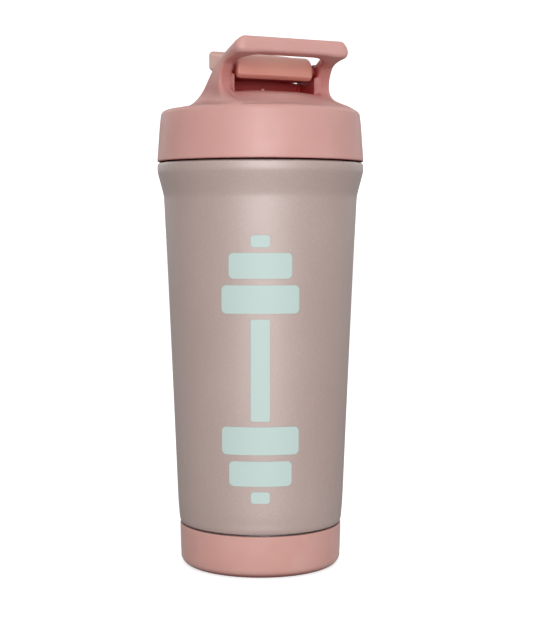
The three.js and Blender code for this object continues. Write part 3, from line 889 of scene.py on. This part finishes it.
@dataclass
class BaseBoot:
    """The soft boot that sleeves the foot and is flush with the painted wall."""

    floor: float = 2.4
    wall: float = 1.85
    lip: float = 0.55
    corner: float = 4.6  # radius of the lower outer corner
    lean: float = 0.35  # how far that corner stands in from the rim
    # the finish paints dark red-brown shade into the gaps round the boot
    finish: SoftSilicone = SoftSilicone("boot_silicone_pink", tone(216, 167, 158), tone(209, 157, 147))

    def build(self) -> None:
        """Builds and dresses the boot."""
        low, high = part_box("base_boot")
        rim, top = high.x / MM, high.z / MM
        inner = rim - self.wall
        outline = [
            (0.0, 0.8), (25.4, 0.8), (26.1, 0.65), (26.7, 0.1), (27.2, 0.0), (31.0, 0.0),
            *arc(rim - self.corner - self.lean, self.corner, self.corner, -90, -12, 14),
            *eased([(rim - 0.36, 6.2), (rim - 0.16, 11.0), (rim - 0.02, top - self.lip)], 4),
            *arc(rim - self.lip, top - self.lip, self.lip, 0, 90, 6)[1:], (inner + 0.3, top), (inner, top - 0.3),
            (inner, self.floor + 2.0), (inner - 0.6, self.floor + 0.6), (inner - 2.0, self.floor), (0.0, self.floor)]
        boot = turn_up("base_boot_silicone", outline, self.finish.make(), closed=False)
        soften_by_angle(boot, 50)
        ride(boot, "boot", "boot_silicone", "base_boot")


# ---------------------------------------------------------------- the lid


@dataclass
class ScrewLid:
    """The lid's one moulding: skirt, deck, carry loop, turret, spout and hinge sockets. Its heights are above
    the bottle's shoulder."""

    skirt: float = 47.05
    wall: float = 2.4
    thread_clear: float = 43.35
    collar_outer: float = 37.9
    collar_inner: float = 35.9
    collar_foot: float = 12.7
    ceiling: float = 20.3
    half: float = 28.1
    open_half: float = 21.4
    socket_half: float = 21.8  # the legs' inner faces at the hinge
    front: float = -34.6
    bar_rear: float = -24.5
    bar_bottom: float = 45.5
    top: float = 53.1
    inner_back: float = 2.4
    turret_front: float = -1.0
    turret_centre: float = 3.0
    turret_radius: float = 20.5
    turret_top: float = 38.6
    spout_y: float = 17.0
    spout_outer: float = 11.0
    bore: float = 9.2
    hinge_y: float = -9.5
    hinge: float = 41.3
    pin: float = 2.1
    under: float = 39.1  # the flip cap's underside just behind its barrel
    under_from: float = -4.4
    under_slope: float = 0.155
    nib: tuple[float, float, float] = (-7.3, -16.4, 31.4)  # middle of the moulding nib on the sill
    nib_radius: float = 0.9
    thread_above: float = 6.2
    thread_reach: float = 1.5
    seat_gap: float = 0.35  # between the spout's rim and the stopper
    cell: float = 0.70
    # the finish paints dark red shade into the hinge window, the seams and the other gaps
    finish: MouldedPlastic = MouldedPlastic("lid_plastic_pink", tone(216, 164, 157), tone(211, 157, 149))

    def deck(self) -> Outline:
        """Section of the lid filled solid, from the skirt's foot over the rim to the axis."""
        return [(0.0, 0.5), (46.4, 0.5), *arc(self.skirt - 0.55, 1.05, 0.55, -90, 0, 4),
                *eased([(46.98, 2.4), (46.55, 8.2), (46.06, 14.9), (45.72, 18.6), (45.4, 20.9)], 3),
                *arc(42.75, 21.0, 2.65, 5, 78, 8), (38.0, 24.55),
                *eased([(34.0, 25.3), (30.5, 26.4), (27.0, 28.0), (23.5, 29.9), (20.0, 30.8), (15.0, 31.1)], 3),
                (0.0, 31.1)]

    def cavity(self) -> Outline:
        """Section of the lid's hollow underside."""
        return [(-2.0, -9.0), (44.6, -9.0), (44.15, 0.5), (self.thread_clear, 1.7), (self.thread_clear, self.ceiling),
                (self.collar_outer, self.ceiling), (self.collar_outer, self.collar_foot),
                (self.collar_inner, self.collar_foot), (self.collar_inner, 22.5), (31.7, 23.5), (23.0, 25.9),
                (18.0, 29.1), (-2.0, 29.1)]

    def rear_edge(self) -> Outline:
        """Side outline of everything below and in front of the loop's rear edge."""
        return [(-70.0, 5.0), (16.0, 5.0), (14.5, 22.5), (11.0, 25.4), *bend((11.0, 25.4), (0.9, 33.4), (-7.5, 40.6)),
                *bend((-7.5, 40.6), (-16.5, 47.2), (-29.0, 51.8)), (-34.0, self.top), (-70.0, self.top)]

    def front_edge(self) -> Outline:
        """Side outline of everything behind the loop's front edge."""
        return [(60.0, 80.0), (self.front, 80.0), (self.front, 47.8), *bend((self.front, 47.8), (self.front, 46.0),
                (-32.4, 45.7)), *bend((-32.4, 45.7), (-22.0, 44.9), (-18.2, 42.4)),
                *bend((-18.2, 42.4), (-15.0, 39.0), (-15.0, 34.3)), *bend((-15.0, 34.3), (-15.2, 30.6), (-20.5, 27.8)),
                (-31.5, 23.6), (-31.5, 5.0), (60.0, 5.0)]

    def loop(self, x: Array, y: Array, z: Array) -> Array:
        """Distance to the loop's legs and cross bar."""
        side = np.abs(x)
        inner = np.clip((self.half - 1.6 - side) / 2.4, 0.0, 1.0)
        shift = self.inner_back * inner * inner * (3 - 2 * inner)
        rear = outline_distance(self.rear_edge(), y - shift, z)
        front = outline_distance(self.front_edge(), y, z)
        edge = 1.5 + 2.1 * np.clip((z - 42.0) / 8.0, 0.0, 1.0)
        outer = crossed(self.front - y, side - self.half, 4.8)
        plate = crossed(smooth_max(rear, front, 3.0), outer, edge)
        bar = smooth_max(y - self.bar_rear, self.bar_bottom - z, 2.0)
        opening = smooth_max(side - self.open_half, -bar, 9.0)
        return smooth_max(plate, -opening, 2.4)

    def porch(self, x: Array, y: Array, z: Array) -> Array:
        """Distance to the sill between the legs."""
        side = [(-34.0, 20.0), (-31.0, 24.4), *bend((-31.0, 24.4), (-24.5, 25.4), (-18.0, 29.8)), (-17.2, 30.2),
                (-16.6, 30.3), (3.0, 30.3), (3.0, 20.0)]
        return crossed(outline_distance(side, y, z), np.abs(x) - self.open_half - 1.5, 0.6)

    def turret(self, x: Array, y: Array, z: Array, inset: float = 0.0) -> Array:
        """Distance to the block between the hinge and the spout, or to its hollow where it is inset."""
        plan = smooth_max(np.hypot(x, y - self.turret_centre) - self.turret_radius + inset,
                          self.turret_front + inset - y, 2.0)
        fall = 6.0 * np.clip(y / 23.0, 0.0, 1.2) ** 1.3
        cover = self.turret_top - inset - 0.0045 * x * x - fall
        return smooth_max(plan, z - cover, 1.6 if inset == 0.0 else 0.5)

    def rim_height(self, y: Array) -> Array:
        """Height of the spout's sloping rim."""
        return self.under + self.under_slope * (y - self.under_from) - self.seat_gap

    def shape(self, x: Array, y: Array, z: Array) -> Array:
        """Signed distance to the whole moulding."""
        z = z - SHOULDER
        r = np.hypot(x, y)
        spout = np.hypot(x, y - self.spout_y)
        side = np.abs(x)
        tube = smooth_max(spout - self.spout_outer, (z - self.rim_height(y)) * 0.988, 1.2)
        boss = crossed(np.hypot(y - self.hinge_y, z - self.hinge) - self.pin - 1.5,
                       np.abs(side - 23.6) - 1.8, 0.5)
        rib = crossed(np.maximum(np.abs(y + 6.0) - 8.6, z - self.hinge + self.pin + 0.7),
                      np.abs(side - self.socket_half) - 1.8, 0.4)
        solid = smooth_min(outline_distance(self.deck(), r, z), self.porch(x, y, z), 3.0)
        solid = smooth_min(solid, self.loop(x, y, z), 1.4 + 3.4 * np.clip((side - 23.5) / 2.0, 0.0, 1.0))
        solid = smooth_min(solid, np.maximum(self.turret(x, y, z), 24.0 - z), 1.5)
        solid = smooth_min(solid, np.maximum(tube, 20.0 - z), 2.2)
        solid = smooth_min(solid, boss, 1.0)
        solid = smooth_min(solid, np.maximum(rib, 26.0 - z), 0.8)
        nib = np.sqrt(sum((a - b) ** 2 for a, b in zip((x, y, z), self.nib))) - self.nib_radius
        solid = smooth_min(solid, nib, 0.4)
        hollow = outline_distance(self.cavity(), r, z)
        under = np.maximum(np.maximum(self.turret(x, y, z, self.wall), 20.0 - z),
                           self.spout_outer - spout)
        bore = np.maximum(spout - self.bore, 15.0 - z)
        socket = np.maximum(np.hypot(y - self.hinge_y, z - self.hinge) - self.pin - 0.25,
                            np.maximum(17.0 - side, side - self.socket_half - 2.7))
        solid = smooth_max(solid, -smooth_min(hollow, under, 0.6), 0.5)
        return smooth_max(smooth_max(solid, -bore, 1.0), -socket, 0.4)

    def build(self) -> None:
        """Builds and dresses the lid and its thread."""
        plastic = self.finish.make()
        low, high = (np.array(c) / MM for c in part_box("lid_body"))
        body = skin("lid_moulding", self.shape, low, high, self.cell, plastic)
        ride(body, "lid", "lid_plastic", "lid_body")
        winding = Winding()
        start = SHOULDER + self.thread_above - winding.lead / 4
        thread = winding.make("lid_thread", self.thread_clear, -self.thread_reach, start, plastic)
        ride(thread, "lid", "lid_plastic")


@dataclass
class FlipCap:
    """The lever over the spout with its hinge barrel and moulded pins, and the soft stopper in its seat."""

    lid: ScrewLid
    barrel: float = 6.2
    barrel_low: float = 4.6  # how far the barrel reaches below its pin
    barrel_half: float = 19.2
    pin_reach: float = 24.1
    end_y: float = 21.0
    end_radius: float = 14.5
    tip_top: float = 53.3
    tip_thick: float = 8.3
    flange: float = 12.0
    flange_thick: float = 2.2
    cell: float = 0.42
    # the cap's plastic takes milder painted shade in its gaps than the lid's, with an exponent of 1.1
    finish: MouldedPlastic = MouldedPlastic("cap_plastic_pink", tone(234, 176, 160), tone(229, 169, 153),
                                            roughness=0.4, depth=1.1)
    # (120, 110, 104) is the grey painted shade that the stopper darkens to in gaps
    soft: SoftSilicone = SoftSilicone("seal_silicone_white", tone(228, 224, 220), tone(216, 212, 208), 0.5, 0.3,
                                      (120, 110, 104))

    def side(self) -> Outline:
        """Side outline of the lever and barrel."""
        y, z, r, low = self.lid.hinge_y, self.lid.hinge, self.barrel, self.barrel_low
        tip, floor = self.end_y + self.end_radius, self.tip_top - self.tip_thick
        return [(y - r, z - low + 1.6), *arc(y, z, r, 180, 94, 12),
                *eased([(y + 4.0, z + r + 0.35), (10.0, 50.4), (24.0, 52.7), (tip - 4.4, self.tip_top)], 5),
                *bend((tip - 4.4, self.tip_top), (tip - 0.2, self.tip_top), (tip, self.tip_top - 3.8), 5),
                *bend((tip, self.tip_top - 3.8), (tip, floor + 0.4), (tip - 3.2, floor - 0.25), 5),
                (y + 5.1, self.lid.under), (y + 5.1, z - low + 0.5), (y + 4.6, z - low), (y - r + 1.6, z - low)]

    def plan(self) -> Outline:
        """Plan outline of the lever and barrel."""
        y, r, w = self.lid.hinge_y, self.barrel, self.barrel_half
        lean = 12.0  # degrees that the sides run in towards the round end
        side = arc(0.0, self.end_y, self.end_radius, lean, 180 - lean, 28)
        meet = w - (side[0][1] - y - r - 8.0) * math.tan(math.radians(lean))
        right = [(w, y - r - 1.0), (w, y + r + 2.0), *bend((w, y + r + 2.0), (w, y + r + 8.0),
                                                           (0.5 * (w + meet), side[0][1] - 6.5), 8)]
        left = [(-a, b) for a, b in reversed(right)]
        return right + side + left

    def shape(self, x: Array, y: Array, z: Array) -> Array:
        """Signed distance to the cap."""
        z = z - SHOULDER
        lid = self.lid
        lever = crossed(outline_distance(self.side(), y, z), outline_distance(self.plan(), x, y), 2.0)
        pin = crossed(np.hypot(y - lid.hinge_y, z - lid.hinge) - lid.pin, np.abs(x) - self.pin_reach, 0.4)
        tilt = math.atan(lid.under_slope)
        across, rise = y - lid.spout_y, z - (lid.rim_height(np.float64(lid.spout_y)) + lid.seat_gap)
        along = across * math.cos(tilt) + rise * math.sin(tilt)
        height = -across * math.sin(tilt) + rise * math.cos(tilt)
        out = np.hypot(x, along)
        seat = np.minimum(np.maximum(out - self.flange - 0.35, height - self.flange_thick - 0.35),
                          np.maximum(out - 3.35, height - self.flange_thick - 2.15))
        return smooth_max(smooth_min(lever, pin, 0.8), -seat, 0.4)

    def build(self) -> None:
        """Builds and dresses the cap and its stopper."""
        low, high = (np.array(c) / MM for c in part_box("flip_cap"))
        cap = skin("flip_cap_lever", self.shape, low, high, self.cell, self.finish.make())
        ride(cap, "cap", "cap_plastic", "flip_cap")
        plug = self.lid.bore - 0.5
        outline = [(0.0, -3.2), (plug - 2.6, -3.2), *arc(plug - 2.4, -2.2, 1.0, -90, -8, 5), (plug - 0.2, -0.9),
                   (plug, -0.25), (plug + 0.3, 0.0), (self.flange - 0.5, 0.0),
                   *arc(self.flange - 0.4, 0.4, 0.4, -90, 0, 4),
                   *arc(self.flange - 0.4, self.flange_thick - 0.4, 0.4, 0, 90, 4), (3.0, self.flange_thick),
                   (3.0, 3.7), (2.7, 4.0), (0.0, 4.0)]
        stopper = turn_up("spout_stopper_silicone", outline, self.soft.make(), SMALL_ROUND, closed=False)
        rim = SHOULDER + float(self.lid.rim_height(np.float64(self.lid.spout_y))) + self.lid.seat_gap
        stopper.data.transform(Matrix.Translation((0, self.lid.spout_y * MM, rim * MM))
                               @ Matrix.Rotation(math.atan(self.lid.under_slope), 4, "X"))
        soften_by_angle(stopper, 50)
        ride(stopper, "cap", "seal_silicone", "spout_stopper")


@dataclass
class SealAndStrainer:
    """The sealing ring over the bottle's lip and the strainer that clips up inside the lid's collar."""

    rim: float = 1.6
    floor: float = 1.6
    pitch: float = 9.2
    bar: float = 2.0
    ring_inner: float = 38.2
    finish: MouldedPlastic = MouldedPlastic("strainer_plastic_pink", tone(226, 172, 166), tone(218, 162, 156),
                                            roughness=0.45)
    # (120, 110, 104) is the grey painted shade that the ring darkens to in gaps
    soft: SoftSilicone = SoftSilicone("ring_silicone_white", tone(226, 222, 217), tone(214, 209, 204), 0.5, 0.3,
                                      (120, 110, 104))

    def build(self) -> None:
        """Builds and dresses the ring and the strainer."""
        low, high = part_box("sealing_ring")
        foot, top, outer, inner = low.z / MM, high.z / MM, high.x / MM, self.ring_inner
        ring = turn_up("sealing_ring_silicone", rounded([(inner, foot), (outer, foot), (outer, top), (inner, top)],
                                                        0.6), self.soft.make())
        ride(ring, "seal", "seal_silicone", "sealing_ring")
        plastic = self.finish.make()
        low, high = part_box("strainer")
        foot, top, outer = low.z / MM, high.z / MM, high.x / MM
        wall = outer - self.rim
        hoop = rounded([(wall - 1.6, foot), (outer, foot), (outer, top), (wall, top), (wall, foot + self.floor),
                        (wall - 1.6, foot + self.floor)], 0.45, 3)
        basket = turn_up("strainer_hoop", hoop, plastic)
        ride(basket, "strainer", "strainer_plastic", "strainer")
        ride(self.lattice(plastic, wall - 0.6, foot), "strainer", "strainer_plastic")

    def lattice(self, plastic: bpy.types.Material, reach: float, foot: float) -> bpy.types.Object:
        """The strainer's crossed bars, each as long as the hoop is wide where it lies."""
        p = Pattern("strainer_lattice", {"Reach": reach * MM, "Pitch": self.pitch * MM, "Bar": self.bar * MM,
                                         "Depth": self.floor * MM})
        count = int(2 * (reach - 2.0) / self.pitch)
        span = p.math("MULTIPLY", p.size("Pitch"), float(count - 1))
        start = p.add("ShaderNodeCombineXYZ", {"X": p.math("MULTIPLY", span, -0.5)})
        step = p.add("ShaderNodeCombineXYZ", {"X": p.size("Pitch")})
        line = p.add("GeometryNodeMeshLine", {"Count": count, "Start Location": start.outputs[0],
                                              "Offset": step.outputs[0]})
        place = p.add("GeometryNodeInputPosition").outputs[0]
        x = p.add("ShaderNodeSeparateXYZ", {"Vector": place}).outputs["X"]
        room = p.math("SUBTRACT", p.math("MULTIPLY", p.size("Reach"), p.size("Reach")), p.math("MULTIPLY", x, x))
        length = p.math("MULTIPLY", p.math("SQRT", room), 2.0)
        size = p.add("ShaderNodeCombineXYZ", {"X": p.size("Bar"), "Y": length, "Z": p.size("Depth")})
        cube = p.add("GeometryNodeMeshCube", {"Size": (1.0, 1.0, 1.0), "Vertices X": 2, "Vertices Y": 2,
                                              "Vertices Z": 2})
        bars = p.add("GeometryNodeInstanceOnPoints", {"Points": line.outputs[0], "Instance": cube.outputs[0],
                                                      "Scale": size.outputs[0]})
        crossed_bars = p.add("GeometryNodeTransform", {"Geometry": bars.outputs[0],
                                                       "Rotation": (0.0, 0.0, math.pi / 2),
                                                       "Scale": (1.0, 1.0, 0.96)})
        made = p.make(p.pair(bars.outputs[0], crossed_bars.outputs[0]), plastic)
        made.data.transform(Matrix.Translation((0, 0, (foot + self.floor / 2) * MM)))
        return made


# ---------------------------------------------------------------- the printed emblem


@dataclass
class Emblem:
    """A plain dumbbell, printed upright on the side that faces forwards and left."""

    bottle: SteelBottle
    facing: float = -27.0  # degrees round from the front, to the left
    middle: float = 93.0
    proud: float = 0.07
    finish: PrintInk = PrintInk("mint_ink", tone(196, 216, 211), tone(189, 203, 197))

    def marks(self) -> list[tuple[float, float, float, float]]:
        """Centre height, half width, half height and corner radius of each mark, above and below the middle."""
        one_end = [(31.0, 17.4, 6.2, 2.2), (45.6, 14.0, 5.6, 2.2), (56.2, 4.2, 2.6, 1.4)]
        return [(0.0, 4.2, 22.4, 1.0), *[(s * h, w, t, c) for s in (1, -1) for h, w, t, c in one_end]]

    def build(self) -> None:
        """Builds and dresses the print."""
        points: list[tuple[float, float, float]] = []
        faces: list[tuple[int, ...]] = []
        columns, rows = 44, 28
        for height, half, rise, corner in self.marks():
            start = len(points)
            for i in range(columns + 1):
                s = -half * math.cos(math.pi * i / columns)
                edge = max(abs(s) - (half - corner), 0.0)
                tall = rise - corner + math.sqrt(max(corner**2 - edge**2, 0.0))
                for j in range(rows + 1):
                    z = self.middle + height + tall * (2 * j / rows - 1)
                    points.append(self.on_wall(s, z))
            for i in range(columns):
                for j in range(rows):
                    a = start + i * (rows + 1) + j
                    faces.append((a, a + rows + 1, a + rows + 2, a + 1))
        print_mesh = place_mesh("printed_emblem", np.array(points), faces, self.finish.make())
        ride(print_mesh, "bottle", "powder_coat")

    def on_wall(self, s: float, z: float) -> tuple[float, float, float]:
        """A point of the print on the painted wall, s round from its middle and z up."""
        r = self.bottle.radius_at(z) + self.proud
        a = math.radians(self.facing) + s / r
        return (r * math.sin(a), -r * math.cos(a), z)


# ---------------------------------------------------------------- studio


@dataclass
class Studio:
    """Plain pale floor and backdrop, soft light and the camera."""

    distance: float = 660.2
    azimuth: float = -27.0
    height: float = 156.5
    pitch: float = 3.78
    lens: float = 80.95
    shift: float = 0.0096
    room: float = 12.0  # metres from the bottle to the backdrop
    light_above: float = 0.66
    light_below: float = 0.08
    floor_glow: float = 0.62
    aim: float = 0.12  # metres up the bottle where the lamps point

    def camera(self) -> None:
        """Places the camera."""
        data = bpy.data.cameras.new("camera")
        data.lens, data.shift_x = self.lens, self.shift
        data.sensor_width = 36.0
        data.clip_start = 0.01
        eye = stand("camera", data)
        a = math.radians(self.azimuth)
        eye.location = (self.distance * math.sin(a) * MM, -self.distance * math.cos(a) * MM, self.height * MM)
        eye.rotation_euler = (math.radians(90.0 - self.pitch), 0.0, a)
        bpy.context.scene.camera = eye

    def lamp(self, name: str, azimuth: float, elevation: float, away: float, size: tuple[float, float],
             power: float) -> None:
        """Adds an area light that faces the bottle's middle.

        Args:
            name: The light's name.
            azimuth: Degrees round from the front, positive to the right.
            elevation: Degrees above the horizon.
            away: Metres from the bottle.
            size: Width and height in metres.
            power: Watts.
        """
        data = bpy.data.lights.new(name, "AREA")
        data.shape, (data.size, data.size_y), data.energy = "RECTANGLE", size, power
        made = stand(name, data)
        a, e = math.radians(azimuth), math.radians(elevation)
        way = Vector((math.sin(a) * math.cos(e), -math.cos(a) * math.cos(e), math.sin(e)))
        made.location = way * away + Vector((0, 0, self.aim))
        made.rotation_euler = way.to_track_quat("Z", "Y").to_euler()
        made.visible_camera = False

    def stand_in(self, name: str, mesh: bmesh.types.BMesh, glow: float) -> bpy.types.Object:
        """Makes a pale stage piece that shines a little by itself."""
        n = Nodes(name)
        n.set(Base_Color=(0.8, 0.8, 0.8, 1.0), Roughness=0.9, Emission_Color=(1.0, 1.0, 1.0, 1.0),
              Emission_Strength=glow)
        data = bpy.data.meshes.new(name)
        mesh.to_mesh(data)
        mesh.free()
        data.materials.append(n.material)
        made = stand(name, data)
        return made

    def surround(self) -> None:
        """Lays the pale floor and hangs a pale backdrop all round, which lights nothing."""
        ground = bmesh.new()
        bmesh.ops.create_circle(ground, cap_ends=True, segments=96, radius=self.room)
        floor = self.stand_in("floor", ground, self.floor_glow)
        dome = bmesh.new()
        bmesh.ops.create_uvsphere(dome, u_segments=64, v_segments=32, radius=self.room * 1.05)
        backdrop = self.stand_in("backdrop", dome, 1.0)
        for sheet in (floor, backdrop):
            sheet.visible_diffuse = sheet.visible_glossy = sheet.visible_transmission = False
        backdrop.visible_shadow = False

    def build(self) -> None:
        """Sets up the floor, the light and the camera."""
        self.camera()
        self.surround()
        world = bpy.data.worlds.new("pale_room")
        world.use_nodes = True
        tree = world.node_tree
        sky = tree.nodes["Background"]
        sky.inputs["Color"].default_value = (1.0, 1.0, 1.0, 1.0)
        way = tree.nodes.new("ShaderNodeSeparateXYZ")
        tree.links.new(tree.nodes.new("ShaderNodeTexCoord").outputs["Generated"], way.inputs[0])
        fade = tree.nodes.new("ShaderNodeMapRange")
        for socket, number in zip(("From Min", "From Max", "To Min", "To Max"),
                                  (-1.0, 1.0, self.light_below, self.light_above)):
            fade.inputs[socket].default_value = number
        tree.links.new(way.outputs["Z"], fade.inputs["Value"])
        tree.links.new(fade.outputs["Result"], sky.inputs["Strength"])
        bpy.context.scene.world = world
        view = bpy.context.scene.view_settings
        view.view_transform, view.look = "Standard", "None"
        self.lamp("key_softbox", self.azimuth + 3.0, 10.0, 1.25, (0.8, 0.6), 9.6)
        self.lamp("side_fill", self.azimuth + 80.0, 25.0, 1.3, (0.4, 0.8), 0.6)
        self.lamp("low_fill", self.azimuth, -27.0, 0.22, (0.3, 0.03), 0.02)
        self.lamp("rim_left", self.azimuth - 140.0, 22.0, 1.3, (0.5, 0.9), 1.7)
        self.lamp("rim_right", self.azimuth + 140.0, 22.0, 1.3, (0.5, 0.9), 1.2)


def main() -> None:
    """Builds the studio and every sub-assembly in order."""
    logging.basicConfig(level=logging.INFO, format="%(relativeCreated)6d ms %(message)s", stream=sys.stdout)
    Studio().build()
    bottle = SteelBottle()
    bottle.build()
    BaseBoot().build()
    lid = ScrewLid()
    lid.build()
    FlipCap(lid).build()
    SealAndStrainer().build()
    Emblem(bottle).build()


if __name__ == "__main__":
    main()
